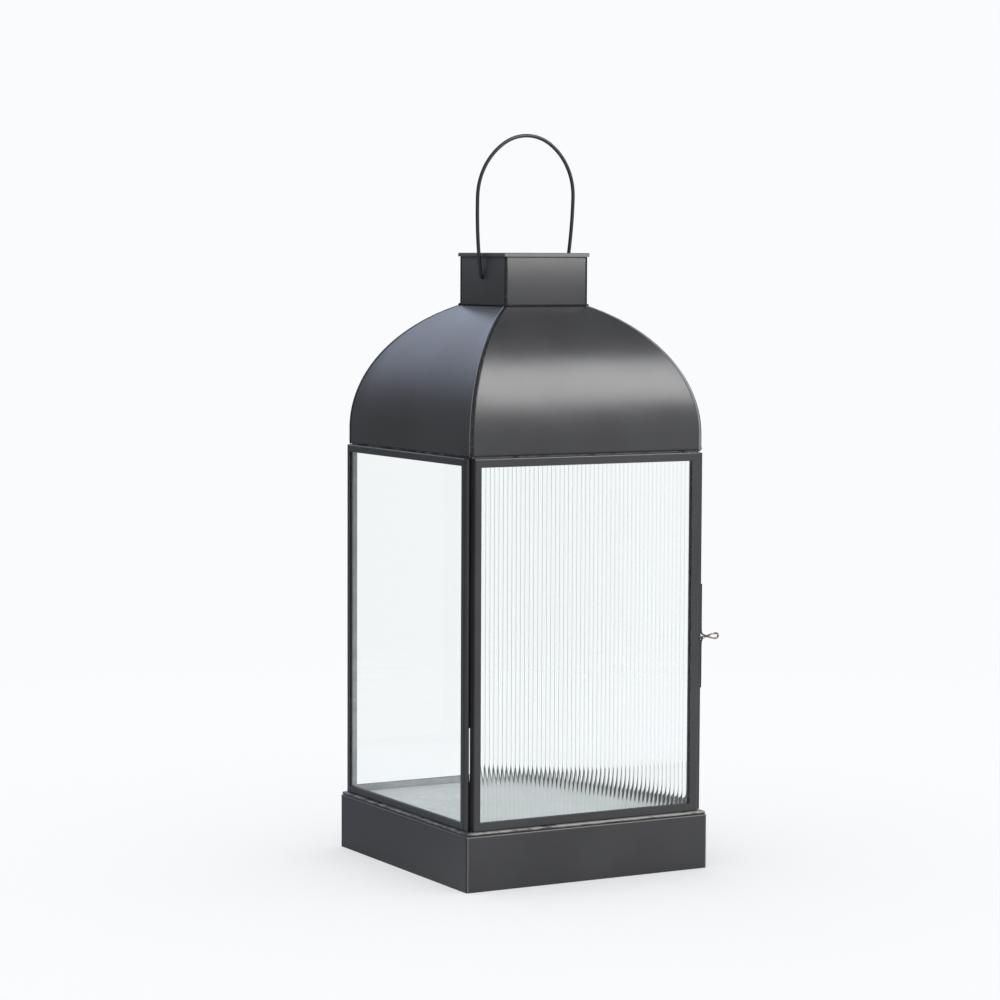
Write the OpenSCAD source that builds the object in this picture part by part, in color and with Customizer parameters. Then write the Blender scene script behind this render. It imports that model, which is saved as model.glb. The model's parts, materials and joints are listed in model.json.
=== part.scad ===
// Candle lantern: a square sheet-metal base, four glazed frames of which one is a hinged door,
// a roof of four rolled panels, a square chimney collar and a swinging wire bail.
// Millimetres, +Z up, origin at the centre of the underside.
// The fluted pane faces -Y and the door faces +X.

/* [Base] */
// Width of the square base
base_w = 141.9; // [140:0.1:150]
// Height of the base skirt
base_h = 28.3; // [20:0.1:40]
// Radius of the rolled edges of the skirt
base_edge_r = 1; // [0.8:0.1:1.5]
// Width of the flange folded in along the top of the skirt
base_flange = 7; // [4:0.5:12]
// Thickness of the floor plate
floor_t = 1.5; // [0.8:0.1:1.8]
// Height of the flat panel pressed up inside the frames, where a candle stands
floor_panel_h = 0.3; // [0.2:0.1:0.5]

/* [Frames] */
// Distance between the outer faces of the front and left frames and their axis, doubled
body_w = 137.5; // [136:0.1:137.5]
// Height of the glazed frames
frame_h = 186.9; // [120:0.1:240]
// Depth of a frame channel from front to back
frame_d = 2.6; // [2.4:0.1:2.8]
// Width of the top and bottom rails of the front frame and the door
rail_w = 4.5; // [4:0.1:6]
// Width of the top and bottom rails of the left frame
left_rail_w = 3.9; // [3.2:0.1:5]
// Width of the top and bottom rails of the back frame
back_rail_w = 3.6; // [3.2:0.1:5]
// Thickness of the folded sheet of a channel
lip_t = 0.45; // [0.4:0.05:0.5]
// Radius of the outer edge of a channel
channel_r = 0.8; // [0.4:0.1:1]
// Width of each leg of a corner post
post_leg = 3.5; // [2.5:0.1:4]

/* [Glass] */
// Thickness of the clear panes
pane_t = 1.6; // [1.2:0.1:1.6]
// Width of one flute of the fluted pane
flute_pitch = 2.45; // [2:0.05:4]
// Height of a flute above the pane's web
flute_h = 0.45; // [0.3:0.05:0.6]

/* [Door] */
// Distance from the lantern's axis to the outer face of the door
door_plane = 69.3; // [69.2:0.05:69.6]
// Distance from the lantern's axis to the outer face of the back frame
back_plane = 68.2; // [68.1:0.05:68.4]
// Gap above and below the door
door_gap = 0.6; // [0.4:0.1:1]
// Length of a hinge
hinge_len = 18; // [14:1:24]
// Radius of a hinge pin
pin_r = 0.55; // [0.5:0.05:0.6]
// Radial clearance of a pin in its knuckles
pin_gap = 0.05; // [0.02:0.01:0.08]
// Height of the latch above the ground
latch_z = 120.5; // [80:1:170]
// Radius of the latch wire
latch_r = 0.45; // [0.35:0.05:0.5]

/* [Roof] */
// Distance from the axis to the outside of the roof at its foot
roof_half = 67.6; // [67:0.1:68]
// Radius of the rolled roof panels
roof_r = 71.7; // [66:0.1:74]
// Height of the straight foot of the roof
roof_foot = 7.9; // [5:0.1:12]
// Thickness of the roof and chimney sheet
sheet_t = 0.8; // [0.6:0.1:1]
// Height of the ledge between the frames and the roof
ledge_h = 0.8; // [0.6:0.1:1.5]
// Distance from the axis to the outside of the ledge under the roof
ledge_half = 66.6; // [66.3:0.1:66.8]
// Width of the ledge
ledge_w = 8; // [6:0.5:12]
// Width of the folded seam on a hip
seam_w = 1.3; // [1:0.1:2]
// Height of the folded seam above the roof
seam_h = 0.5; // [0.3:0.1:0.7]

/* [Chimney] */
// Distance from the axis to the outside of the chimney
chimney_half = 24.2; // [23:0.1:25]
// Height of the top of the chimney above the ground
chimney_top = 318.5; // [310:0.5:320]
// Height of the rim hem
rim_h = 2; // [1.5:0.1:3]
// How far the rim hem stands out
rim_out = 0.9; // [0.6:0.1:1.2]

/* [Bail] */
// Radius of the bail wire
wire_r = 0.95; // [0.8:0.05:1.2]
// Radial clearance of the bail in its holes
wire_gap = 0.05; // [0.02:0.01:0.08]
// Height of the bail's pivot above the ground
pivot_z = 305.8; // [304:0.1:308]
// Height of the widest place of the bail when it stands upright
bail_wide_z = 347.5; // [344:0.5:350]
// Height of the wire's centreline at the top of the upright bail
bail_top_z = 379.15; // [375:0.05:385]
// Half the width of the bail on the wire's centreline
bail_half = 28.5; // [28:0.1:30]
// How far the bail leans forward when the lantern stands (degrees)
bail_lean = 2.9; // [0:0.1:6]

/* [Hidden] */
$fn = 48;
SIDES = ["front", "door", "back", "left"];
FIXED = ["front", "back", "left"];
PARTS = ["stile_a", "stile_b", "rail_top", "rail_bottom", "pane"];
CORNERS = ["front_left", "front_door", "back_door", "back_left"];
POSTS = ["front_left", "front_door", "back_door"];
HINGES = ["lower", "upper"];
HINGE_PARTS = ["fixed_leaf", "door_leaf", "pin"];
function names(sides, tail) = [for (s = sides) str(s, "_", tail)];

PAINT = "#2b2c30";
GALVANISED = "#b9bdbf";
GLASS = "#dfe9ea";
COPPER = "#8a5a40";
STEEL = "#6f7174";

base_half = base_w / 2;
floor_z = base_h + floor_t;
// Distance from the axis to the edge of the panel pressed up in the floor, inside the posts
floor_panel = 64.5;
body_half = body_w / 2;
frame_top = floor_z + frame_h;
frame_back = body_half - frame_d;
// Distance from the axis to the front edge of the left frame
left_edge = 62.95;
roof_z = frame_top + ledge_h;
spring_z = roof_z + roof_foot;
roof_cx = roof_half - roof_r;
reach = 100;
// Depth of the web at the outer edge of a channel, beyond the sheet
cut = 0.5;
// How much fatter than the bail's wire a bead is
bead_extra = 0.1;

// Where each side lies: turn about Z, plane of its outer face, left and right edge seen from
// outside, widths of the left and the right stile, bottom and top, rail width
function side_row(s) =
    s == "front" ?
        [0, body_half, 0.35 - frame_back, frame_back + 0.25, 3.6, 4.8, floor_z, frame_top, rail_w] :
    s == "door" ?
        [90, door_plane, -66.5, hinge_y - 3.15, 4.5, 4.5,
            floor_z + door_gap, frame_top - door_gap, rail_w] :
    s == "back" ?
        [180, back_plane, 3.85 - hinge_x, frame_back, 4.5, 3, floor_z, frame_top, back_rail_w] :
    [270, body_half, -back_plane, left_edge, 3, 3, floor_z, frame_top, left_rail_w];
function side_turn(s) = side_row(s)[0];

// Hinge: the axis stands off the door's and the back frame's outer faces
hinge_leaf_t = 0.5;
hinge_leaf_w = 5.4;
knuckle_r = 1.15;
hinge_off = 0.95;
hinge_x = door_plane + hinge_off;
hinge_y = back_plane + hinge_off;
knuckle_gap = 0.3;
knuckle_h = (hinge_len - 2 * knuckle_gap) / 3;
leaf_step = 1.95;
pin_head_r = 0.95;
pin_head_h = 0.6;
HINGE_Z = [58, 170];

// Latch loop, seen from the front
loop_tip_x = 80.5;
loop_r = 1.3;
loop_root_x = 70.3;
latch_up = 148;
latch_down = 94;
latch_y = -66;
nib_y = -67.2;
nib_x = 65.9;
notch_h = 2.4;

// Fin of the front left corner post and the open slot beside it
fin_x = -68.4;
fin_y = [-65.85, -63.3];
web_y = -64;
slot_y = -64.85;
slot_z = [55, 82];

// Bail: a tight elbow, a long gently curved leg, a shoulder and a crown
elbow_r = 1.2;
leg_r = 270;
shoulder_r = 33;
stub_in = 21.5;
crown_rise = bail_top_z - bail_wide_z;
shoulder_dx = bail_half - shoulder_r;
// Radius of the crown that meets the shoulders tangentially
crown_r = (pow(shoulder_r, 2) - pow(shoulder_dx, 2) - pow(crown_rise, 2))
    / (2 * (shoulder_r - crown_rise));
crown_z = bail_top_z - crown_r;
crown_angle = atan2(crown_z - bail_wide_z, -shoulder_dx);
leg_drop = bail_wide_z - pivot_z;
leg_angle = asin((leg_drop - elbow_r) / (leg_r - elbow_r));
elbow_x = bail_half - leg_r + (leg_r - elbow_r) * cos(leg_angle);

// A wedge that keeps the quarter of a square ring on the -Y side
module front_quarter(z0, z1) {
    translate([0, 0, z0])
        linear_extrude(z1 - z0) polygon([[0, 0], [-reach, -reach], [reach, -reach]]);
}

// A prism drawn in X and Z, from y0 back to y1
module xz_prism(points, y0, y1) {
    translate([0, y1, 0]) rotate([90, 0, 0]) linear_extrude(y1 - y0) polygon(points);
}

// A profile drawn as distance out from the axis and height, swept along X on the -Y side
module front_sweep() {
    rotate([90, 0, -90]) linear_extrude(2 * reach, center = true) children();
}

// A square column with round vertical edges
module round_column(half, r, h) {
    flat = half - r;
    linear_extrude(h) {
        square([2 * half, 2 * flat], center = true);
        square([2 * flat, 2 * half], center = true);
        for (x = [-flat, flat]) for (y = [-flat, flat]) translate([x, y]) circle(r);
    }
}

// ---- Base ----
module bottom_plate() {
    inner = base_half - sheet_t;
    color(GALVANISED) translate([-inner, -inner, 0]) cube([2 * inner, 2 * inner, sheet_t]);
}

module skirt_profile() {
    translate([base_half - sheet_t, 0]) square([sheet_t, base_h - base_edge_r]);
    translate([base_half - base_flange, base_h - sheet_t])
        square([base_flange - base_edge_r, sheet_t]);
    intersection() {
        translate([base_half - base_edge_r, base_h - base_edge_r]) difference() {
            circle(base_edge_r);
            circle(base_edge_r - sheet_t);
        }
        translate([base_half - base_edge_r, base_h - base_edge_r]) square(base_edge_r);
    }
}

module skirt(side) {
    color(PAINT) rotate([0, 0, side_turn(side)]) intersection() {
        front_sweep() skirt_profile();
        front_quarter(0, base_h);
        round_column(base_half, base_edge_r, base_h);
    }
}

module floor_plate() {
    color(GALVANISED) {
        translate([0, 0, base_h]) round_column(base_half - 0.3, base_edge_r, floor_t);
        translate([-floor_panel, -floor_panel, floor_z - floor_t / 2])
            cube([2 * floor_panel, 2 * floor_panel, floor_t / 2 + floor_panel_h]);
    }
}

// ---- Glazed frames: X is the width from the outer edge, Y the depth from the outer face ----
module channel_profile(width) {
    difference() {
        union() {
            translate([channel_r, 0]) square([width - channel_r, frame_d]);
            translate([0, channel_r]) square([width, frame_d - channel_r]);
            translate([channel_r, channel_r]) circle(channel_r);
        }
        translate([lip_t + cut, lip_t]) square([width, frame_d - 2 * lip_t]);
    }
}

module stile(side, right) {
    row = side_row(side);
    edge = right ? row[3] : row[2];
    width = right ? row[5] : row[4];
    inner = edge + (right ? -width : width);
    corners = [
        [edge, row[6]], [inner, row[6] + row[8]], [inner, row[7] - row[8]], [edge, row[7]]
    ];
    color(PAINT) rotate([0, 0, row[0]]) difference() {
        intersection() {
            translate([edge, -row[1], row[6]])
                mirror([right ? 1 : 0, 0, 0])
                    linear_extrude(row[7] - row[6]) channel_profile(width);
            xz_prism(corners, -reach, 0);
        }
        if (side == "front" && right) latch_notch();
    }
}

// The catch of the door snaps into this notch, which is open towards the door
module latch_notch() {
    translate([nib_x - 0.6, nib_y - 0.8, latch_z - notch_h / 2])
        cube([reach, 1.6, notch_h]);
}

module rail(side, top) {
    row = side_row(side);
    z = top ? row[7] : row[6];
    inner = z + (top ? -row[8] : row[8]);
    corners = [
        [row[2], z], [row[2] + row[4], inner], [row[3] - row[5], inner], [row[3], z]
    ];
    color(PAINT) rotate([0, 0, row[0]]) intersection() {
        translate([top ? row[2] : row[3], -row[1], z])
            rotate([0, top ? 90 : -90, 0])
                linear_extrude(row[3] - row[2]) channel_profile(row[8]);
        xz_prism(corners, -reach, 0);
    }
}

module pane(side) {
    row = side_row(side);
    tuck = lip_t + cut + 0.2;
    width = row[3] - row[2] - 2 * tuck;
    y0 = -row[1] + frame_d / 2 - pane_t / 2;
    color(GLASS, 0.4) rotate([0, 0, row[0]]) translate([row[2] + tuck, y0, row[6] + tuck])
        linear_extrude(row[7] - row[6] - 2 * tuck)
            if (side == "front") fluted_section(width); else square([width, pane_t]);
}

// Round flutes on the outer face of the pane, each the top of a circle
module fluted_section(width) {
    flute_r = (pow(flute_pitch / 2, 2) + pow(flute_h, 2)) / (2 * flute_h);
    count = floor(width / flute_pitch);
    edge = (width - count * flute_pitch) / 2;
    translate([0, flute_h]) square([width, pane_t - flute_h]);
    for (i = [0 : count - 1]) translate([edge + (i + 0.5) * flute_pitch, 0]) intersection() {
        translate([0, flute_r]) circle(flute_r);
        translate([-flute_pitch / 2, 0]) square([flute_pitch, flute_h]);
    }
}

// ---- Corner posts: angles behind the frames, from the floor plate to the ledge ----
// An angle with its outer corner at x, y and its legs running in towards the axis
module angle_section(x, y, leg_x, leg_y) {
    translate([min(x, x - sign(x) * leg_x), min(y, y - sign(y) * sheet_t)])
        square([leg_x, sheet_t]);
    translate([min(x, x - sign(x) * sheet_t), min(y, y - sign(y) * leg_y)])
        square([sheet_t, leg_y]);
}

// The front left post has a fin that closes the left face out to the corner, on a web
module finned_section() {
    angle_section(-frame_back, -frame_back, 3.7, 4.65);
    translate([fin_x, fin_y[0]]) square([sheet_t, fin_y[1] - fin_y[0]]);
    translate([fin_x, web_y]) square([-frame_back - fin_x, fin_y[1] - web_y]);
}

module post(corner) {
    color(PAINT) difference() {
        translate([0, 0, floor_z]) linear_extrude(frame_h)
            if (corner == "front_left") finned_section();
            else if (corner == "front_door") angle_section(frame_back, -frame_back, post_leg, 2.65);
            else angle_section(frame_back, back_plane - frame_d, post_leg, post_leg);
        if (corner == "front_left") translate([-frame_back, slot_y, slot_z[0]])
            cube([2 * sheet_t, 5, slot_z[1] - slot_z[0]]);
    }
}

// ---- Latch: one bent wire, its long ends soldered along the door's edge ----
module wire_path(points) {
    for (i = [1 : len(points) - 1]) hull() {
        translate(points[i - 1]) sphere(latch_r, $fn = 12);
        translate(points[i]) sphere(latch_r, $fn = 12);
    }
}

module latch_pull() {
    bow_x = loop_tip_x - latch_r - loop_r;
    face_x = door_plane + latch_r + 0.02;
    gap_y = latch_r - 0.02;
    bow = [for (a = [-90 : 30 : 90])
        [bow_x + loop_r * cos(a), latch_y, latch_z + loop_r * sin(a)]];
    color(COPPER) {
        wire_path(bow);
        for (s = [-1, 1]) wire_path([
            [bow_x, latch_y, latch_z + s * loop_r],
            [(bow_x + loop_root_x) / 2, latch_y + s * gap_y, latch_z],
            [loop_root_x, latch_y, latch_z - s * 1.2],
            [face_x, latch_y, latch_z - s * 2.6],
            [face_x, latch_y, s > 0 ? latch_down : latch_up]
        ]);
        wire_path([
            [loop_root_x, latch_y, latch_z - 1.2], [loop_root_x, latch_y, latch_z + 1.2],
            [loop_root_x, nib_y, latch_z], [nib_x, nib_y, latch_z]
        ]);
    }
}

// ---- Hinges: the leaves lie on the outer faces of the door and of the back frame ----
module knuckle(z0) {
    translate([hinge_x, hinge_y, z0]) cylinder(h = knuckle_h, r = knuckle_r);
}

module pin_bore(z0) {
    translate([hinge_x, hinge_y, z0 - 1]) cylinder(h = hinge_len + 2, r = pin_r + pin_gap);
}

module fixed_leaf(z0) {
    plate_x = hinge_x - leaf_step - hinge_leaf_w;
    color(STEEL) difference() {
        union() {
            translate([plate_x, back_plane, z0]) cube([hinge_leaf_w, hinge_leaf_t, hinge_len]);
            for (z = [z0, z0 + 2 * (knuckle_h + knuckle_gap)]) {
                translate([plate_x, back_plane, z])
                    cube([hinge_leaf_w + leaf_step - 0.4, hinge_leaf_t, knuckle_h]);
                knuckle(z);
            }
        }
        pin_bore(z0);
    }
}

module door_leaf(z0) {
    plate_y = hinge_y - leaf_step - hinge_leaf_w;
    middle = z0 + knuckle_h + knuckle_gap;
    color(STEEL) difference() {
        union() {
            translate([door_plane, plate_y, z0]) cube([hinge_leaf_t, hinge_leaf_w, hinge_len]);
            translate([door_plane, plate_y, middle])
                cube([hinge_leaf_t, hinge_leaf_w + leaf_step - 0.4, knuckle_h]);
            knuckle(middle);
        }
        pin_bore(z0);
    }
}

module hinge_pin(z0) {
    color(STEEL) translate([hinge_x, hinge_y, z0]) {
        cylinder(h = hinge_len, r = pin_r);
        translate([0, 0, -pin_head_h]) cylinder(h = pin_head_h, r = pin_head_r);
        translate([0, 0, hinge_len]) cylinder(h = pin_head_h, r = pin_head_r);
    }
}

// ---- Roof ----
// A flat strip on the frames and posts with a step that the foot of the roof is slipped over
module ledge(side) {
    color(PAINT) rotate([0, 0, side_turn(side)]) intersection() {
        front_sweep() {
            translate([ledge_half - ledge_w, frame_top]) square([ledge_w, ledge_h + sheet_t]);
            translate([ledge_half - 1, roof_z])
                square([roof_half - sheet_t - ledge_half + 1, sheet_t]);
        }
        front_quarter(frame_top, roof_z + sheet_t);
    }
}

// Half the outline of the roof, grown by g: a straight foot and a round shoulder
module dome_half(g) {
    translate([0, roof_z]) square([roof_half + g, roof_foot]);
    intersection() {
        translate([roof_cx, spring_z]) circle(roof_r + g, $fn = 180);
        translate([0, spring_z]) square(reach);
    }
}

module roof_panel(side) {
    color(PAINT) rotate([0, 0, side_turn(side)]) intersection() {
        front_sweep() intersection() {
            difference() {
                dome_half(0);
                dome_half(-sheet_t);
            }
            translate([chimney_half, roof_z]) square(reach);
        }
        front_quarter(roof_z, roof_z + reach);
    }
}

module dome_solid(g) {
    intersection_for (turn = [0, 90]) rotate([0, 0, turn])
        rotate([90, 0, 0]) linear_extrude(2 * reach, center = true) {
            dome_half(g);
            mirror([1, 0]) dome_half(g);
        }
}

module hip_seam(corner) {
    turn = 90 * search([corner], CORNERS)[0];
    start = chimney_half * sqrt(2) + 0.4;
    color(PAINT) rotate([0, 0, turn]) intersection() {
        difference() {
            dome_solid(seam_h);
            dome_solid(0);
        }
        rotate([0, 0, 225]) translate([start, -seam_w / 2, roof_z]) cube([reach, seam_w, reach]);
    }
}

// ---- Chimney: each wall ends in a hem folded outward ----
module chimney_profile() {
    foot_z = roof_z + roof_foot + roof_r * 0.905;
    translate([chimney_half - sheet_t, foot_z]) square([sheet_t, chimney_top - foot_z]);
    translate([chimney_half, chimney_top - rim_h]) {
        square([rim_out - rim_out / 2, rim_h]);
        square([rim_out, rim_h - rim_out / 2]);
        translate([rim_out / 2, rim_h - rim_out / 2]) circle(rim_out / 2);
    }
}

module chimney_wall(side) {
    pierced = side == "left" || side == "door";
    color(PAINT) rotate([0, 0, side_turn(side)]) difference() {
        intersection() {
            front_sweep() chimney_profile();
            front_quarter(roof_z, chimney_top);
        }
        if (pierced) translate([0, 0, pivot_z]) rotate([90, 0, 0])
            cylinder(h = reach, r = wire_r + wire_gap);
    }
}

// ---- Bail: arcs of wire with a slightly fatter bead at each joint ----
module wire_arc(cx, cz, r, from, to) {
    translate([cx, 0, cz]) rotate([90, 0, 0]) rotate([0, 0, from])
        rotate_extrude(angle = to - from) translate([r, 0]) circle(wire_r);
}

module arc_bead(cx, cz, r, angle) {
    translate([cx + r * cos(angle), 0, cz + r * sin(angle)]) sphere(wire_r + bead_extra);
}

module leg_arc() {
    wire_arc(bail_half - leg_r, bail_wide_z, leg_r, -leg_angle, 0);
}

module bail_foot() {
    leg_arc();
    wire_arc(elbow_x, pivot_z + elbow_r, elbow_r, -90, -leg_angle);
    arc_bead(elbow_x, pivot_z + elbow_r, elbow_r, -leg_angle);
}

module bail_leg() {
    bail_foot();
    translate([stub_in, 0, pivot_z]) rotate([0, 90, 0])
        cylinder(h = elbow_x - stub_in, r = wire_r);
}

module bail_shoulder() {
    wire_arc(shoulder_dx, bail_wide_z, shoulder_r, 0, crown_angle);
    leg_arc();
    arc_bead(shoulder_dx, bail_wide_z, shoulder_r, 0);
}

module bail_crown() {
    wire_arc(0, crown_z, crown_r, crown_angle, 180 - crown_angle);
    for (m = [0, 1]) mirror([m, 0, 0]) {
        wire_arc(shoulder_dx, bail_wide_z, shoulder_r, 0, crown_angle);
        arc_bead(0, crown_z, crown_r, crown_angle);
    }
}

module bail() {
    color(PAINT) translate([0, 0, pivot_z]) rotate([bail_lean, 0, 0]) translate([0, 0, -pivot_z]) {
        for (m = [0, 1]) mirror([m, 0, 0]) {
            bail_leg();
            bail_shoulder();
        }
        bail_crown();
    }
}

bottom_plate();
floor_plate();
for (s = SIDES) {
    skirt(s);
    stile(s, false);
    stile(s, true);
    rail(s, true);
    rail(s, false);
    pane(s);
    ledge(s);
    roof_panel(s);
    chimney_wall(s);
}
for (p = POSTS) {
    post(p);
}
for (c = CORNERS) {
    hip_seam(c);
}
for (i = [0, 1]) {
    fixed_leaf(HINGE_Z[i]);
    door_leaf(HINGE_Z[i]);
    hinge_pin(HINGE_Z[i]);
}
latch_pull();
bail();
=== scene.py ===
"""Looks of the candle lantern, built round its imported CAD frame. Metres, +Z up."""
import json
import math

import bpy
from mathutils import Matrix, Vector, noise


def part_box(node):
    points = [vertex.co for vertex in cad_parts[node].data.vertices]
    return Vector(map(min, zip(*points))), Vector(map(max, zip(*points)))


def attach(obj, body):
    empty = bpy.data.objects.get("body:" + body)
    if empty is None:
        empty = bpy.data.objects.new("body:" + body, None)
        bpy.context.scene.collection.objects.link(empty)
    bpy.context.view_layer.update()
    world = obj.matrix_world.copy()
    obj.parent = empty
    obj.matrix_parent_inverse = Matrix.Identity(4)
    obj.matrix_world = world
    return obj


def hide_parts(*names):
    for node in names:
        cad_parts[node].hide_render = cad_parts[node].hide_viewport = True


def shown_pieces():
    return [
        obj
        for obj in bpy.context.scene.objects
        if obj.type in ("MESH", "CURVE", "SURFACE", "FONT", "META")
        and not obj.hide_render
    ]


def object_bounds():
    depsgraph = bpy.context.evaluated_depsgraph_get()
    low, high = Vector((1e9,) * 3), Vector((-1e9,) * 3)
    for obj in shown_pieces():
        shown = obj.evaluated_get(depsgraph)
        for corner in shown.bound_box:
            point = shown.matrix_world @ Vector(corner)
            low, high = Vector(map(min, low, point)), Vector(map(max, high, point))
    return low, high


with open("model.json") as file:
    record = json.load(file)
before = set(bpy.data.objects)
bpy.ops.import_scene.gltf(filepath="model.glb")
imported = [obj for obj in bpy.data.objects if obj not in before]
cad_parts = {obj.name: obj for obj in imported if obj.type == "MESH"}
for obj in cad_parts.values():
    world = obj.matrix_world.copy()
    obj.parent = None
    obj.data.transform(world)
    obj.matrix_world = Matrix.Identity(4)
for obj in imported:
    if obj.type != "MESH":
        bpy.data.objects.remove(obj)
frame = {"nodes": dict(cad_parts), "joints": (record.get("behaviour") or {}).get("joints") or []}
cad_low, cad_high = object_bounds()
nodes = frame["nodes"]
SIDES = ("front", "door", "back", "left")
CORNERS = ("front_left", "front_door", "back_door", "back_left")
MM = 0.001

# ---- Driving sizes, read from the frame ----
base_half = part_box("front_skirt")[1].x
PANEL_UP = 0.3 * MM
PANEL_HALF = 64.5 * MM
floor_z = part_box("floor_plate")[1].z - PANEL_UP
roof_low, roof_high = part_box("front_roof_panel")
roof_half = -roof_low.y
chimney_half = -roof_high.y
chimney_low, chimney_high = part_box("front_chimney_wall")
pane_low, pane_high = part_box("front_pane")

ROOF_R = 71.7 * MM
ROOF_FOOT = 7.9 * MM
ROOF_SPRING = roof_low.z + ROOF_FOOT
ROOF_CX = roof_half - ROOF_R
SHEET = 0.8 * MM
BAIL_LEAN = 2.9
LATCH_Y = -66 * MM
LATCH_Z = 120.5 * MM
POST_INSET = 66.4 * MM


# ---- Camera, at the photograph's angle ----
def make_camera():
    azimuth, elevation, roll = (math.radians(a) for a in (-29.112, 4.489, 0.239))
    distance = 1.61872
    target = Vector((-0.013378, 0, 0.189745))
    back = Vector((math.sin(azimuth) * math.cos(elevation),
                   -math.cos(azimuth) * math.cos(elevation), math.sin(elevation)))
    level = (-back).cross(Vector((0, 0, 1))).normalized()
    upward = level.cross(-back)
    right = level * math.cos(roll) + upward * math.sin(roll)
    up = upward * math.cos(roll) - level * math.sin(roll)
    data = bpy.data.cameras.new("camera")
    data.lens, data.sensor_width = 111.57, 36
    data.clip_start, data.clip_end = 0.05, 60
    camera = bpy.data.objects.new("camera", data)
    turn = Matrix((right, up, back)).transposed().to_4x4()
    camera.matrix_world = Matrix.Translation(target + back * distance) @ turn
    bpy.context.scene.collection.objects.link(camera)
    bpy.context.scene.camera = camera


make_camera()


# ---- Material helpers ----
class Shader:
    """A material's node tree, with short calls for the nodes that it uses."""

    def __init__(self, name):
        self.material = bpy.data.materials.new(name)
        self.material.use_nodes = True
        self.tree = self.material.node_tree
        self.tree.nodes.clear()
        self.output = self.add("ShaderNodeOutputMaterial")
        self.position = self.add("ShaderNodeTexCoord").outputs["Object"]

    def add(self, kind, **settings):
        node = self.tree.nodes.new(kind)
        for key, value in settings.items():
            setattr(node, key, value)
        return node

    def link(self, source, target):
        self.tree.links.new(source, target)

    def feed(self, socket, value):
        if isinstance(value, (int, float, tuple)):
            socket.default_value = value
        else:
            self.link(value, socket)

    def principled(self, **values):
        node = self.add("ShaderNodeBsdfPrincipled")
        for key, value in values.items():
            self.feed(node.inputs[key.replace("_", " ")], value)
        return node

    def scaled(self, stretch):
        node = self.add("ShaderNodeMapping")
        self.link(self.position, node.inputs["Vector"])
        node.inputs["Scale"].default_value = stretch
        return node.outputs["Vector"]

    def noise(self, scale, detail=3.0, rough=0.5, stretch=None, distort=0.0):
        node = self.add("ShaderNodeTexNoise")
        self.link(self.scaled(stretch) if stretch else self.position, node.inputs["Vector"])
        node.inputs["Scale"].default_value = scale
        node.inputs["Detail"].default_value = detail
        node.inputs["Roughness"].default_value = rough
        node.inputs["Distortion"].default_value = distort
        return node.outputs["Fac"]

    def math(self, operation, a, b=0.0, c=0.0):
        node = self.add("ShaderNodeMath", operation=operation)
        for socket, value in zip(node.inputs, (a, b, c)):
            self.feed(socket, value)
        return node.outputs[0]

    def remap(self, value, low, high, to_low=0.0, to_high=1.0):
        node = self.add("ShaderNodeMapRange", interpolation_type="SMOOTHSTEP")
        for socket, entry in zip(node.inputs, (value, low, high, to_low, to_high)):
            self.feed(socket, entry)
        return node.outputs[0]

    def mix(self, factor, a, b):
        node = self.add("ShaderNodeMix", data_type="RGBA")
        self.feed(node.inputs["Factor"], factor)
        self.feed(node.inputs[6], a)
        self.feed(node.inputs[7], b)
        return node.outputs[2]

    def bump(self, layers):
        """Layers of (height, distance in metres), chained."""
        normal = None
        for height, distance in layers:
            node = self.add("ShaderNodeBump")
            node.inputs["Strength"].default_value = 1.0
            node.inputs["Distance"].default_value = distance
            self.link(height, node.inputs["Height"])
            if normal:
                self.link(normal, node.inputs["Normal"])
            normal = node.outputs["Normal"]
        return normal

    def out(self, shader):
        self.link(shader, self.output.inputs["Surface"])
        return self.material

    def axes(self):
        split = self.add("ShaderNodeSeparateXYZ")
        self.link(self.position, split.inputs[0])
        return split.outputs


PAINT_DARK, PAINT_LIGHT = (0.021, 0.021, 0.023, 1), (0.027, 0.027, 0.029, 1)
ZINC_DARK, ZINC_LIGHT = (0.40, 0.42, 0.42, 1), (0.60, 0.62, 0.62, 1)
# From dark paint to worn metal, lightened further where it stands for a painted highlight.
WEAR_HIGHLIGHT_DARK, WEAR_HIGHLIGHT_LIGHT = (0.045, 0.043, 0.04, 1), (0.20, 0.198, 0.19, 1)


def zinc_shader(s, share=1.0):
    streaks = s.noise(70, 4, 0.6, stretch=(1, 9, 1))
    spots = s.noise(420, 3, 0.6)
    tone = s.math("MULTIPLY_ADD", spots, 0.35, s.math("MULTIPLY", streaks, 0.75))
    low, high = (tuple(c * share for c in zinc[:3]) + (1,) for zinc in (ZINC_DARK, ZINC_LIGHT))
    colour = s.mix(s.remap(tone, 0.35, 0.75), low, high)
    rough = s.remap(streaks, 0.3, 0.7, 0.40, 0.55)
    normal = s.bump([(streaks, 0.03 * MM), (s.noise(1400, 2), 0.008 * MM)])
    return s.principled(Base_Color=colour, Roughness=rough, Metallic=0.55, Normal=normal)


def seam_shade_and_highlight(s, colour, half):
    """Adds the lapped edge at each base corner in paint: a line of painted shade, a painted highlight
    beside it.
    """
    x, y, _ = s.axes()
    x, y = s.math("ABSOLUTE", x), s.math("ABSOLUTE", y)
    wander = s.math("MULTIPLY_ADD", s.noise(120, 3), 0.5 * MM, s.math("MINIMUM", x, y))
    shaded_side = s.math("GREATER_THAN", x, y)
    dark = s.math("MULTIPLY", s.remap(wander, half - 1.0 * MM, half - 0.7 * MM), shaded_side)
    bright = s.math("MULTIPLY", s.remap(wander, half - 0.5 * MM, half - 0.3 * MM),
                    s.math("SUBTRACT", 1.0, shaded_side))
    # Painted shade as a dark band at the corner of each ±x face, a painted highlight at the corner of
    # each ±y face.
    colour = s.mix(dark, colour, (0.004, 0.004, 0.005, 1))
    return s.mix(bright, colour, (0.085, 0.087, 0.09, 1))


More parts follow.
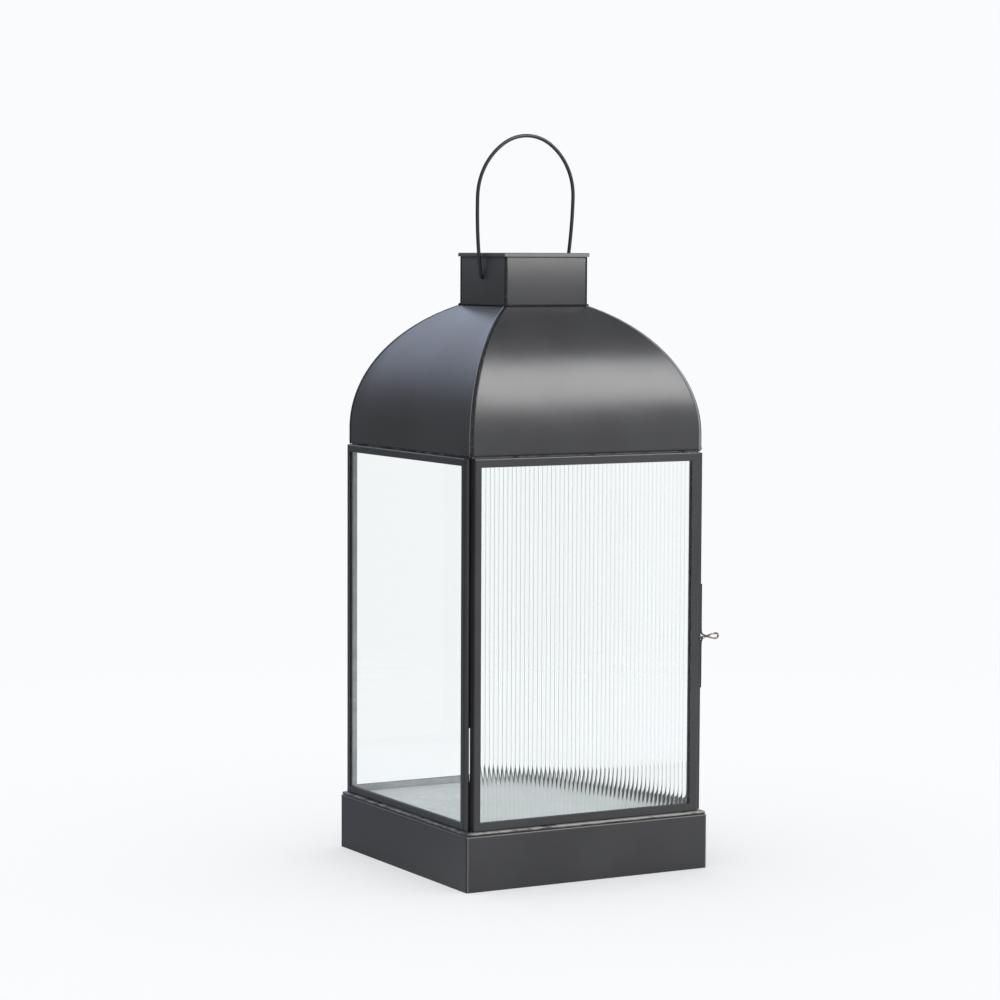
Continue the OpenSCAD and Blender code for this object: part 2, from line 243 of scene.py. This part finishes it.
def paint_shader(s, dent=0.08, dark=1.0, rough_base=0.33, tilt=None, seam_half=None, brushed=0.0):
    """Satin black paint.

    dent and brushed are depths in mm. tilt is (low, high, slope) of a wall that leans back to
    its top. seam_half is the base's half width, where a seam shows at its corners in painted
    shade and a painted highlight.
    """
    cloud = s.noise(24, 3, 0.5)
    peel = s.noise(1500, 2, 0.5)
    wear = s.noise(260, 5, 0.7, distort=0.6)
    low = tuple(c * dark for c in PAINT_DARK[:3]) + (1,)
    high = tuple(c * dark for c in PAINT_LIGHT[:3]) + (1,)
    colour = s.mix(s.remap(cloud, 0.3, 0.7), low, high)
    if seam_half:
        colour = seam_shade_and_highlight(s, colour, seam_half)
    rough = s.math("ADD", s.remap(cloud, 0.25, 0.75, rough_base, rough_base + 0.05),
                   s.remap(wear, 0.5, 0.85, 0.0, 0.06))
    layers = [(s.noise(26, 2, 0.4), dent * MM), (wear, 0.008 * MM), (peel, 0.005 * MM)]
    if tilt:
        bottom, top, slope = tilt
        climb = s.math("DIVIDE", s.math("SUBTRACT", s.axes()[2], bottom), top - bottom)
        climb = s.math("MAXIMUM", climb, 0.0)
        layers.append((s.math("MULTIPLY", s.math("MULTIPLY", climb, climb), -1.0),
                       0.5 * slope * (top - bottom)))
    if brushed:
        streaks = s.noise(200, 4, 0.6, stretch=(1, 1, 0.12))
        layers.append((streaks, brushed * MM))
    normal = s.bump(layers)
    return s.principled(Base_Color=colour, Roughness=rough, Specular_IOR_Level=0.5, Normal=normal)


def worn_highlight_shader(s):
    """A folded edge with patches of paint rubbed off, plus painted light: a painted highlight
    along the top of the floor's rim and on each ledge, painted shade on the faces towards ±x.
    """
    scrape = s.noise(150, 5, 0.6, stretch=(1, 1, 3))
    # Painted highlight: lighter towards the top of the floor's rim, and at full strength on the ledges
    # above it.
    height = s.remap(s.axes()[2], floor_z - 1.1 * MM, floor_z - 0.5 * MM, 0.0, 0.22)
    x, y, _ = s.axes()
    # Painted shade: the faces towards ±x come out darker.
    shaded_side = s.math("GREATER_THAN", s.math("ABSOLUTE", x), s.math("ABSOLUTE", y))
    wear_and_highlight = s.math("MULTIPLY_ADD", shaded_side, -0.12, s.math("ADD", scrape, height))
    colour = s.mix(s.remap(wear_and_highlight, 0.52, 0.72), WEAR_HIGHLIGHT_DARK, WEAR_HIGHLIGHT_LIGHT)
    normal = s.bump([(scrape, 0.02 * MM)])
    return s.principled(Base_Color=colour, Roughness=0.5, Metallic=0.2, Normal=normal)


def square_distance(s):
    """Distance from the lantern's axis, measured square: the larger of |x| and |y|."""
    x, y, z = s.axes()
    return s.math("MAXIMUM", s.math("ABSOLUTE", x), s.math("ABSOLUTE", y)), z


def split_by(s, mask, inside, outside):
    mixed = s.add("ShaderNodeMixShader")
    s.link(mask, mixed.inputs[0])
    s.link(inside.outputs[0], mixed.inputs[1])
    s.link(outside.outputs[0], mixed.inputs[2])
    return s.out(mixed.outputs[0])


def black_paint(name, bare_inside=None, wear_and_highlight=False, bare_share=0.5, **looks):
    """Satin black paint; inside bare_inside metres from the axis the sheet is bare zinc."""
    s = Shader(name)
    paint = worn_highlight_shader(s) if wear_and_highlight else paint_shader(s, **looks)
    if bare_inside is None:
        return s.out(paint.outputs[0])
    away, _ = square_distance(s)
    ragged = s.math("MULTIPLY_ADD", s.noise(420, 3), 0.5 * MM, away)
    mask = s.remap(ragged, bare_inside, bare_inside + 0.25 * MM)
    return split_by(s, mask, zinc_shader(s, bare_share), paint)


def bare_zinc(name):
    s = Shader(name)
    return s.out(zinc_shader(s).outputs[0])


def glass(name, tint, clear, smear, ior):
    """Glass that lets lamps through, so that the candle chamber isn't dark."""
    s = Shader(name)
    film = s.noise(26, 4, 0.6, distort=0.4)
    rough = s.remap(film, 0.5, 0.85, 0.0, smear)
    ripple = s.bump([(s.noise(14, 1), 0.02 * MM)])
    pane = s.principled(Base_Color=tint, Roughness=rough, IOR=ior, Transmission_Weight=1.0,
                        Normal=ripple)
    through = s.add("ShaderNodeBsdfTransparent")
    through.inputs[0].default_value = clear
    path = s.add("ShaderNodeLightPath")
    factor = s.math("MAXIMUM", path.outputs["Is Shadow Ray"], path.outputs["Is Diffuse Ray"])
    mixed = s.add("ShaderNodeMixShader")
    s.link(factor, mixed.inputs[0])
    s.link(pane.outputs[0], mixed.inputs[1])
    s.link(through.outputs[0], mixed.inputs[2])
    return s.out(mixed.outputs[0])


def copper(painted_inside):
    """Tarnished copper; nearer the door than painted_inside the wire is painted over."""
    s = Shader("tarnished_copper")
    tarnish = s.noise(600, 4, 0.6)
    colour = s.mix(s.remap(tarnish, 0.35, 0.65), (0.06, 0.034, 0.025, 1), (0.46, 0.29, 0.21, 1))
    rough = s.remap(tarnish, 0.3, 0.7, 0.5, 0.32)
    normal = s.bump([(s.noise(2500, 2), 0.01 * MM)])
    metal = s.principled(Base_Color=colour, Roughness=rough, Metallic=0.9, Normal=normal)
    mask = s.remap(s.axes()[0], painted_inside, painted_inside + 0.3 * MM)
    return split_by(s, mask, paint_shader(s, dark=0.7), metal)


def solder():
    s = Shader("painted_solder")
    lumps = s.noise(900, 4, 0.6)
    colour = s.mix(s.remap(lumps, 0.58, 0.75), (0.010, 0.010, 0.011, 1), (0.16, 0.16, 0.16, 1))
    normal = s.bump([(lumps, 0.05 * MM)])
    rough = s.remap(lumps, 0.3, 0.7, 0.5, 0.65)
    metal = s.principled(Base_Color=colour, Roughness=rough, Specular_IOR_Level=0.15, Normal=normal)
    return s.out(metal.outputs[0])


PAINT = black_paint("black_paint")
# The skirts' corner seams carry painted shade and a painted highlight.
SKIRT_PAINT = black_paint("skirt_paint", seam_half=base_half)
CHIMNEY_PAINT = black_paint("chimney_paint", tilt=(chimney_low.z, chimney_high.z, 0.22))
ROOF_PAINT = black_paint("roof_paint", dent=0.12, rough_base=0.30, brushed=0.05)
WIRE_PAINT = black_paint("wire_paint", dent=0.01, dark=0.6, rough_base=0.40)
NEAR_FRAME = black_paint("near_frame_paint", bare_inside=66.0 * MM)
FAR_FRAME = black_paint("far_frame_paint", bare_inside=66.5 * MM)
# The floor's rim and the ledges: worn paint with a painted highlight, and painted shade on the ±x faces.
RIM = black_paint("floor_rim", bare_inside=64.9 * MM, wear_and_highlight=True, bare_share=1.0)
WORN_HIGHLIGHT = black_paint("worn_edge_highlight", wear_and_highlight=True)
# The hip folds' paint is six times lighter than the rest: a painted highlight along each bead.
SEAM_HIGHLIGHT = black_paint("seam_fold_highlight", dark=6, rough_base=0.3)
ZINC = bare_zinc("zinc_sheet")
CLEAR = glass("clear_glass", (0.985, 0.998, 0.995, 1), (0.975, 0.992, 0.992, 1), 0.0, 1.25)
FLUTED = glass("fluted_glass", (0.98, 0.997, 0.995, 1), (0.95, 0.975, 0.975, 1), 0.05, 1.45)
COPPER = copper(70.6 * MM)
SOLDER = solder()


# ---- Mesh helpers ----
def piece(name, points, faces, material, body, smooth_angle=40):
    mesh = bpy.data.meshes.new(name)
    mesh.from_pydata([tuple(p) for p in points], [], faces)
    mesh.validate()
    mesh.update()
    made = bpy.data.objects.new(name, mesh)
    bpy.context.scene.collection.objects.link(made)
    mesh.materials.append(material)
    mesh.shade_smooth()
    mesh.set_sharp_from_angle(angle=math.radians(smooth_angle))
    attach(made, body)
    return made


def ring_faces(rings, sides, closed=True):
    """Quads between rings of points, with both ends capped where the sweep is open."""
    faces = []
    for i in range(rings - 1):
        for j in range(sides):
            k = (j + 1) % sides
            faces.append((i * sides + j, i * sides + k, (i + 1) * sides + k, (i + 1) * sides + j))
    if closed:
        faces.append(tuple(reversed(range(sides))))
        faces.append(tuple((rings - 1) * sides + j for j in range(sides)))
    return faces


def tube(path, radius, sides=16):
    """Points of a round tube along a path, with no twist."""
    points = []
    normal = None
    for i, p in enumerate(path):
        ahead = (path[min(i + 1, len(path) - 1)] - path[max(i - 1, 0)]).normalized()
        if normal is None:
            normal = ahead.orthogonal().normalized()
        normal = (normal - ahead * normal.dot(ahead)).normalized()
        side = ahead.cross(normal)
        for j in range(sides):
            a = 2 * math.pi * j / sides
            points.append(p + (normal * math.cos(a) + side * math.sin(a)) * radius)
    return points


def smooth_path(corners, steps=14):
    """A Catmull-Rom curve through the corners."""
    ends = [corners[0] * 2 - corners[1]] + corners + [corners[-1] * 2 - corners[-2]]
    path = []
    for a, b, c, d in zip(ends, ends[1:], ends[2:], ends[3:]):
        for i in range(steps):
            t = i / steps
            path.append(0.5 * (2 * b + (c - a) * t + (2 * a - 5 * b + 4 * c - d) * t ** 2
                               + (3 * b - a - 3 * c + d) * t ** 3))
    return path + [corners[-1]]


def quarter_turns(names):
    """Pairs of a name and the turn about Z that carries the first one's place to it."""
    return [(name, Matrix.Rotation(math.radians(90 * i), 3, "Z")) for i, name in enumerate(names)]


# ---- Roof ----
def roof_profile(t):
    """Distance from the axis and height on the roof's outside, for t from 0 at the foot to 1."""
    foot = ROOF_SPRING - roof_low.z
    end_angle = math.acos((chimney_half - ROOF_CX) / ROOF_R)
    arc = end_angle * ROOF_R
    s = t * (foot + arc)
    if s < foot:
        return roof_half, roof_low.z + s
    a = (s - foot) / ROOF_R
    return ROOF_CX + ROOF_R * math.cos(a), ROOF_SPRING + ROOF_R * math.sin(a)


def dent(p, seed, size):
    """A gentle unevenness of rolled sheet."""
    return noise.noise(p * 22 + Vector((seed, 0, 0))) * size


def roof_panel(side, turn, seed):
    rows, columns = 64, 56
    points = []
    for i in range(rows + 1):
        t = i / rows
        out, z = roof_profile(t)
        upper, upper_z = roof_profile(min(1, t + 0.01))
        lower, lower_z = roof_profile(max(0, t - 0.01))
        normal = Vector((0, -(upper_z - lower_z), -(upper - lower))).normalized()
        normal = Vector((0, -abs(normal.y), abs(normal.z)))
        for j in range(columns + 1):
            u = 2 * j / columns - 1
            p = Vector((u * out, -out, z))
            edge = min(1, (1 - abs(u)) * 6, t * 8, (1 - t) * 8)
            p -= normal * (0.12 * MM + dent(p, seed, 0.28 * MM)) * max(0, edge)
            points.append(turn @ p)
    wide = columns + 1
    faces = [(i * wide + j, i * wide + j + 1, (i + 1) * wide + j + 1, (i + 1) * wide + j)
             for i in range(rows) for j in range(columns)]
    made = piece(f"{side}_roof_sheet", points, faces, ROOF_PAINT, "body")
    solid = made.modifiers.new("sheet", "SOLIDIFY")
    solid.thickness, solid.offset = SHEET, -1
    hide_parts(f"{side}_roof_panel")


# Sections of the strips along a hip: sideways and up, in mm from the panels' faces.
FOLD = ((0.45, -0.30), (0.45, 0.10), (0.55, 0.34), (0.80, 0.42), (1.05, 0.30), (1.12, 0.05),
        (1.12, -0.30))
# GAP is a dark solder strip that also stands for the shade in the groove between fold and lip.
GAP = ((-1.15, -0.30), (-1.15, 0.04), (-0.30, 0.07), (0.30, 0.05), (0.50, 0.08), (0.50, -0.30))
LIP = ((-1.5, -0.30), (-1.47, 0.05), (-1.33, 0.12), (-1.19, 0.06), (-1.17, -0.30))


def hip_strip(name, turn, seed, section, material, rough):
    """A strip of the given section along a hip, made uneven by rough mm."""
    rings = 130
    points = []
    away = Vector((-1, -1, 0)).normalized()
    rise = Vector((0, 0, 1))
    across = away.cross(rise).normalized()
    for i in range(rings):
        t = i / (rings - 1)
        out, z = roof_profile(t)
        far_out, far_z = roof_profile(min(1, t + 0.01))
        near_out, near_z = roof_profile(max(0, t - 0.01))
        run = Vector((far_out - near_out, far_z - near_z)).normalized()
        along = (away * run.x * math.sqrt(2) + rise * run.y).normalized()
        up = across.cross(along)
        if up.dot(away + rise) < 0:
            up = -up
        falling = run.y / math.sqrt(2) / math.sqrt(1 - run.y ** 2 / 2)
        middle = away * out * math.sqrt(2) + rise * z
        wave = noise.noise(Vector((seed, z * 160, 0)))
        for x, y in section:
            fine = noise.noise(Vector((seed + x * 3, z * 1100, y)))
            side = x * (1 + 0.05 * wave) + rough * fine
            height = (y if y < 0 else min(y * (1 + 0.3 * fine), 0.48)) - abs(x) * falling
            points.append(turn @ (middle + (across * side + up * height) * MM))
    return piece(name, points, ring_faces(rings, len(section)), material, "body", 50)


def hip_seam(corner, turn, seed):
    """A folded edge beside a soldered joint of two roof panels. The fold's paint is lightened to a
    painted highlight, and the dark solder strip in the joint also paints the groove's shade.
    """
    # The fold carries a painted highlight.
    fold = hip_strip(f"hip_fold_{corner}", turn, seed, FOLD, SEAM_HIGHLIGHT, 0.04)
    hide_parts(f"hip_seam_{corner}")
    # A dark solder strip that also stands for the shade in the groove beside the fold.
    hip_strip(f"hip_solder_shade_{corner}", turn, seed + 3, GAP, SOLDER, 0.12)
    hip_strip(f"hip_lip_{corner}", turn, seed + 6, LIP, ROOF_PAINT, 0.05)


def corner_strip(name, turn, half, z_low, z_high, left, right, seed):
    """A thin line of solder down a vertical corner, left and right mm wide."""
    rings = 24
    points = []
    section = ((0.05, left), (-0.07, left), (-0.07, -0.07), (right, -0.07), (right, 0.05), (0.05, 0.05))
    for i in range(rings):
        z = z_low + (z_high - z_low) * i / (rings - 1)
        for x, y in section:
            ragged = 0.25 * noise.noise(Vector((seed + x, z * 500, y)))
            x = x + ragged if x == right else x
            y = y + ragged if y == left else y
            points.append(turn @ Vector((-half + x * MM, -half + y * MM, z)))
    piece(name, points, ring_faces(rings, len(section)), SOLDER, "body", 30)


# ---- Glass ----
def fluted_pane():
    """The front pane: round flutes outside, flat inside."""
    pitch, height = 2.45 * MM, 0.52 * MM
    radius = ((pitch / 2) ** 2 + height ** 2) / (2 * height)
    width = pane_high.x - pane_low.x
    count = int(width / pitch)
    edge = (width - count * pitch) / 2
    steps = 14
    outline = [(pane_low.x, pane_high.y), (pane_low.x, pane_low.y + height)]
    for i in range(count):
        middle = pane_low.x + edge + (i + 0.5) * pitch
        for j in range(steps):
            x = (j / steps - 0.5) * pitch
            rise = math.sqrt(radius ** 2 - x ** 2) - (radius - height)
            outline.append((middle + x, pane_low.y + height - rise))
    outline += [(pane_high.x - edge, pane_low.y + height), (pane_high.x, pane_low.y + height)]
    outline.append((pane_high.x, pane_high.y))
    sides = len(outline)
    points = [Vector((x, y, z)) for z in (pane_low.z, pane_high.z) for x, y in outline]
    faces = [(j, (j + 1) % sides, sides + (j + 1) % sides, sides + j) for j in range(sides)]
    faces += [tuple(reversed(range(sides))), tuple(range(sides, 2 * sides))]
    made = piece("fluted_pane", points, faces, FLUTED, "body", 30)
    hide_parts("front_pane")


# ---- Base ----
def floor_sheet():
    """The floor plate: bare sheet with a pressed-up panel and an uneven worn rim with a painted
    highlight.
    """
    low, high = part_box("floor_plate")
    half, thick = high.x, floor_z - low.z
    across = 48
    panel = PANEL_HALF - half
    rim = [(panel, PANEL_UP), (panel + 0.5 * MM, 0.0), (-0.5 * MM, 0.0), (-0.15 * MM, -0.1 * thick),
           (0.0, -0.35 * thick), (0.0, -0.7 * thick), (-0.2 * MM, -0.92 * thick), (-0.5 * MM, -thick)]
    outline = []
    for i in range(4 * across):
        side, step = divmod(i, across)
        u = 2 * step / across - 1
        turn = Matrix.Rotation(math.radians(90 * side), 3, "Z")
        outline.append((turn @ Vector((u, -1, 0)), u))
    points = []
    for k, (out, up) in enumerate(rim):
        for corner, u in outline:
            wave = noise.noise(Vector((corner.x * 9, corner.y * 9, 3))) * 0.14
            fine = noise.noise(Vector((corner.x * 30, corner.y * 30, 5))) * 0.06
            reach = half + out - (max(0, wave + fine) * MM if k > 2 else 0)
            round_off = 1 - (0.005 if abs(u) == 1 and k > 1 else 0)
            p = Vector((corner.x, corner.y, 0)) * reach * round_off
            p.z = floor_z + up
            points.append(p)
    sides = len(outline)
    faces = [tuple(reversed(f)) for f in ring_faces(len(rim), sides, closed=False)]
    faces.append(tuple(range(sides)))
    faces.append(tuple(reversed(range((len(rim) - 1) * sides, len(rim) * sides))))
    made = piece("floor_sheet", points, faces, RIM, "body", 50)
    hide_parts("floor_plate")


def soft_edges(node, width):
    """Rounds the sharp folds of a CAD node by a modifier."""
    bevel = node.modifiers.new("fold", "BEVEL")
    bevel.width, bevel.segments, bevel.limit_method = width, 2, "ANGLE"
    bevel.angle_limit = math.radians(50)


# ---- Wires ----
def bail_wire():
    """The bail: a stub through each chimney wall, an elbow, a long leg and a round crown."""
    pivot_z = frame["joints"][1]["pos_m"][2]
    lean = Matrix.Rotation(math.radians(BAIL_LEAN), 3, "X")
    wire, half = 0.94 * MM, 28.5 * MM
    top, wide_z = 379.15 * MM, 347.5 * MM
    elbow, leg, shoulder = 1.2 * MM, 270 * MM, 33 * MM
    dx, rise = half - shoulder, top - wide_z
    crown = (shoulder ** 2 - dx ** 2 - rise ** 2) / (2 * (shoulder - rise))
    crown_z = top - crown
    crown_angle = math.atan2(crown_z - wide_z, -dx)
    leg_angle = math.asin((wide_z - pivot_z - elbow) / (leg - elbow))
    elbow_x = half - leg + (leg - elbow) * math.cos(leg_angle)

    def arc(cx, cz, radius, start, end, steps):
        return [Vector((cx + radius * math.cos(start + (end - start) * i / steps), 0,
                        cz + radius * math.sin(start + (end - start) * i / steps)))
                for i in range(steps)]

    right = [Vector((21.5 * MM, 0, pivot_z)), Vector((23 * MM, 0, pivot_z))]
    right += arc(elbow_x, pivot_z + elbow, elbow, -math.pi / 2, -leg_angle, 10)
    right += arc(half - leg, wide_z, leg, -leg_angle, 0, 24)
    right += arc(dx, wide_z, shoulder, 0, crown_angle, 16)
    right += arc(0, crown_z, crown, crown_angle, math.pi / 2, 20)
    right.append(Vector((0, 0, top)))
    left = [Vector((-p.x, p.y, p.z)) for p in reversed(right[:-1])]
    path = right + left
    pivot = Vector((0, 0, pivot_z))
    for p in path:
        free = min(1, max(0, (p.z - pivot_z - 4 * MM) / (20 * MM)))
        p.y += 0.04 * MM * free * noise.noise(p * 60)
        p[:] = pivot + lean @ (p - pivot)
    sides = 18
    made = piece("bail_wire", tube(path, wire, sides), ring_faces(len(path), sides), WIRE_PAINT,
                 "bail")
    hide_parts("bail")


def latch_wire():
    """The pull: one copper wire bent to a long loop, its ends lying along the door's edge."""
    low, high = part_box("latch_pull")
    r = 0.45 * MM
    middle = LATCH_Z
    tip, y = high.x, LATCH_Y
    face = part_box("door_stile_a")[1].x + 0.1 * MM
    nib_y, nib_x = -67.2 * MM, low.x + r
    root = face + 0.7 * MM

    def leg(s):
        last = low.z + r if s > 0 else high.z - r
        drop = middle - s * 2.6 * MM
        return [Vector((tip - r - 1.3 * MM, y, middle + s * 1.3 * MM)),
                Vector((tip - r - 3.4 * MM, y + s * 0.1 * MM, middle + s * 1.1 * MM)),
                Vector((tip - r - 5.4 * MM, y + s * 0.3 * MM, middle + s * 0.55 * MM)),
                Vector((tip - r - 7.1 * MM, y + s * r, middle)),
                Vector((root + 0.8 * MM, y + s * 0.3 * MM, middle - s * 0.9 * MM)),
                Vector((root - 0.2 * MM, y, middle - s * 1.7 * MM)),
                Vector((face + 0.05 * MM, y, drop - s * 1.5 * MM)),
                Vector((face, y, (drop + last) / 2)), Vector((face, y, last))]

    bow = [Vector((tip - r - 0.35 * MM, y, middle + 0.85 * MM)), Vector((tip - r, y, middle)),
           Vector((tip - r - 0.35 * MM, y, middle - 0.85 * MM))]
    path = smooth_path(list(reversed(leg(1))) + bow + leg(-1), 10)
    sides = 12
    loop = piece("latch_loop", tube(path, r, sides), ring_faces(len(path), sides), COPPER,
                 "door")
    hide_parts("latch_pull")
    hook = smooth_path([Vector((face, y, middle - 1.0 * MM)), Vector((root, y - 0.6 * MM, middle)),
                        Vector((face + 0.2 * MM, nib_y, middle)),
                        Vector((nib_x, nib_y, middle))], 10)
    piece("latch_nib", tube(hook, r * 0.9, sides), ring_faces(len(hook), sides), COPPER,
          "door")


# ---- Solder ----
def solder_drop(name, place, size, seed):
    """A small uneven blob of solder."""
    rings, sides = 9, 14
    points = []
    for i in range(rings):
        a = math.pi * i / (rings - 1)
        for j in range(sides):
            b = 2 * math.pi * j / sides
            p = Vector((math.sin(a) * math.cos(b), math.sin(a) * math.sin(b), math.cos(a)))
            p *= 1 + 0.35 * noise.noise(p * 1.6 + Vector((seed, 0, 0)))
            points.append(Vector(place) + Vector((p.x * size[0], p.y * size[1], p.z * size[2])))
    piece(name, points, ring_faces(rings, sides), SOLDER, "body", 80)


def chimney_foot(side, turn, seed):
    """The uneven line of solder along the foot of a chimney wall."""
    rings, sides = 40, 10
    path = []
    for i in range(rings):
        x = chimney_half * (2 * i / (rings - 1) - 1)
        lift = 0.3 * MM + 0.12 * MM * noise.noise(Vector((seed, x * 300, 0)))
        path.append(turn @ Vector((x, -chimney_half + 0.1 * MM, roof_high.z + lift)))
    piece(f"chimney_foot_{side}", tube(path, 0.55 * MM, sides), ring_faces(rings, sides), SOLDER,
          "body", 80)


def all_solder():
    corner_out = roof_half - 0.6 * MM
    for i, (corner, turn) in enumerate(quarter_turns(CORNERS)):
        foot = turn @ Vector((-corner_out, -corner_out, roof_low.z + 1.2 * MM))
        solder_drop(f"roof_solder_{corner}", foot, (0.9 * MM, 0.9 * MM, 1.8 * MM), i)
        top = turn @ Vector((-chimney_half - 0.2 * MM, -chimney_half - 0.2 * MM, roof_high.z + 0.3 * MM))
        solder_drop(f"chimney_solder_{corner}", top, (0.8 * MM, 0.8 * MM, 0.6 * MM), i + 5)
        base = turn @ Vector((-POST_INSET, -POST_INSET, floor_z + 0.4 * MM))
        solder_drop(f"post_solder_{corner}", base, (1.0 * MM, 1.0 * MM, 0.7 * MM), i + 11)
        corner_strip(f"chimney_seam_{corner}", turn, chimney_half, roof_high.z, chimney_high.z - 2.2 * MM,
                     0.9, 1.2, i + 21)


# ---- Put the object together ----
for index, (side, turn) in enumerate(quarter_turns(SIDES)):
    roof_panel(side, turn, index * 7.3)
    chimney_foot(side, turn, index * 3.7)
for index, (corner, turn) in enumerate(quarter_turns(CORNERS)):
    hip_seam(corner, turn, index * 4.1)
fluted_pane()
floor_sheet()
bail_wire()
latch_wire()
all_solder()


def finish_of(name):
    """The material and the fold radius of a CAD node that stays in sight."""
    if name.endswith("_pane"):
        return CLEAR, 0.15 * MM
    if name == "bottom_plate":
        return ZINC, 0.1 * MM
    # Ledges: worn paint with a painted highlight.
    if name.endswith("_ledge"):
        return WORN_HIGHLIGHT, 0.1 * MM
    if name.endswith("_skirt"):
        return SKIRT_PAINT, 0.14 * MM
    if name.startswith(("front_", "left_")) and ("stile" in name or "rail" in name):
        return NEAR_FRAME, 0.16 * MM
    if "stile" in name or "rail" in name:
        return FAR_FRAME, 0.16 * MM
    if name.startswith("post_"):
        return NEAR_FRAME, 0.16 * MM
    if "chimney" in name:
        return CHIMNEY_PAINT, 0.2 * MM
    return PAINT, 0.14 * MM


for name, node in nodes.items():
    if node.hide_render:
        continue
    material, fold = finish_of(name)
    for slot in node.material_slots:
        slot.material = material
    soft_edges(node, fold)

# ---- Studio ----
lantern = bpy.data.collections.new("lantern")
bpy.context.scene.collection.children.link(lantern)
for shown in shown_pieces():
    lantern.objects.link(shown)


def make_floor():
    """A white floor that fades into the backdrop, so that no horizon shows."""
    s = Shader("studio_floor")
    path = s.add("ShaderNodeLightPath")
    mirrored = s.math("SUBTRACT", path.outputs["Is Glossy Ray"], path.outputs["Is Transmission Ray"])
    mirrored = s.math("MAXIMUM", mirrored, 0.0)
    glow = s.math("MULTIPLY_ADD", mirrored, -0.40, 0.40)
    behind = s.remap(s.axes()[1], -0.10, 0.12)
    reflected = s.mix(behind, (0.95, 0.95, 0.97, 1), (0.38, 0.41, 0.48, 1))
    colour = s.mix(mirrored, (0.6, 0.603, 0.608, 1), reflected)
    base = s.principled(Base_Color=colour, Roughness=0.9, Specular_IOR_Level=0.0,
                        Emission_Color=(0.995, 1.0, 1.01, 1), Emission_Strength=glow)
    x, y, _ = s.axes()
    away = s.math("SQRT", s.math("ADD", s.math("MULTIPLY", x, x), s.math("MULTIPLY", y, y)))
    clear = s.add("ShaderNodeBsdfTransparent")
    split_by(s, s.remap(away, 0.25, 1.1), base, clear)
    size = 2
    mesh = bpy.data.meshes.new("floor")
    mesh.from_pydata([(-size, -size, 0), (size, -size, 0), (size, size, 0), (-size, size, 0)], [],
                     [(0, 1, 2, 3)])
    mesh.materials.append(s.material)
    floor = bpy.data.objects.new("floor", mesh)
    bpy.context.scene.collection.objects.link(floor)


def make_world():
    """Pale everywhere to the eye; what the paint mirrors is a bright backdrop and a dim room."""
    world = bpy.data.worlds.new("studio")
    bpy.context.scene.world = world
    world.use_nodes = True
    tree = world.node_tree
    tree.nodes.clear()
    add, link = tree.nodes.new, tree.links.new
    direction = add("ShaderNodeTexCoord").outputs["Generated"]

    def towards(vector, wide, tight, strength):
        dot = add("ShaderNodeVectorMath")
        dot.operation = "DOT_PRODUCT"
        link(direction, dot.inputs[0])
        dot.inputs[1].default_value = Vector(vector).normalized()
        ramp = add("ShaderNodeMapRange")
        ramp.interpolation_type = "SMOOTHSTEP"
        link(dot.outputs["Value"], ramp.inputs[0])
        ramp.inputs[1].default_value = math.cos(math.radians(wide))
        ramp.inputs[2].default_value = math.cos(math.radians(tight))
        ramp.inputs[4].default_value = strength
        return ramp.outputs[0]

    def total(values):
        result = values[0]
        for value in values[1:]:
            node = add("ShaderNodeMath")
            link(result, node.inputs[0])
            if isinstance(value, float):
                node.inputs[1].default_value = value
            else:
                link(value, node.inputs[1])
            result = node.outputs[0]
        return result

    mirrored = total([towards((0.49, -0.87, 0.10), 75, 20, 0.60), 0.18])
    sky = total([towards((-0.02, 0.78, 0.62), 38, 10, 1.4), 0.05])
    path = add("ShaderNodeLightPath")
    glossy = add("ShaderNodeMath")
    glossy.operation, glossy.use_clamp = "SUBTRACT", True
    link(path.outputs["Is Glossy Ray"], glossy.inputs[0])
    link(path.outputs["Is Transmission Ray"], glossy.inputs[1])
    blend = add("ShaderNodeMix")
    blend.data_type = "FLOAT"
    link(glossy.outputs[0], blend.inputs[0])
    blend.inputs[2].default_value = 0.965
    link(mirrored, blend.inputs[3])
    background = add("ShaderNodeBackground")
    background.inputs["Color"].default_value = (0.985, 0.998, 1.015, 1)
    link(blend.outputs[0], background.inputs["Strength"])
    shown = add("ShaderNodeMath")
    shown.operation = "MULTIPLY"
    link(glossy.outputs[0], shown.inputs[0])
    link(sky, shown.inputs[1])
    window = add("ShaderNodeBackground")
    window.inputs["Color"].default_value = (0.88, 1.0, 1.27, 1)
    link(shown.outputs[0], window.inputs["Strength"])
    both = add("ShaderNodeAddShader")
    link(background.outputs[0], both.inputs[0])
    link(window.outputs[0], both.inputs[1])
    link(both.outputs[0], add("ShaderNodeOutputWorld").inputs["Surface"])


def softbox(name, direction, distance, size, power):
    """A square light aimed at the lantern's middle, lighting only the lantern."""
    data = bpy.data.lights.new(name, "AREA")
    data.shape, data.size, data.energy = "SQUARE", size, power
    lamp = bpy.data.objects.new(name, data)
    middle = Vector((0, 0, (cad_low.z + cad_high.z) / 2))
    away = Vector(direction).normalized()
    lamp.location = middle + away * distance
    lamp.rotation_mode = "QUATERNION"
    lamp.rotation_quaternion = away.to_track_quat("Z", "Y")
    bpy.context.scene.collection.objects.link(lamp)
    lamp.light_linking.receiver_collection = lantern


make_floor()
make_world()
softbox("key", (0.485, -0.70, 0.64), 1.5, 0.8, 20)
bpy.context.scene.view_settings.view_transform = "Standard"
bpy.context.scene.cycles.use_denoising = True
bpy.context.scene.cycles.transparent_max_bounces = 24
bpy.context.scene.cycles.transmission_bounces = 16
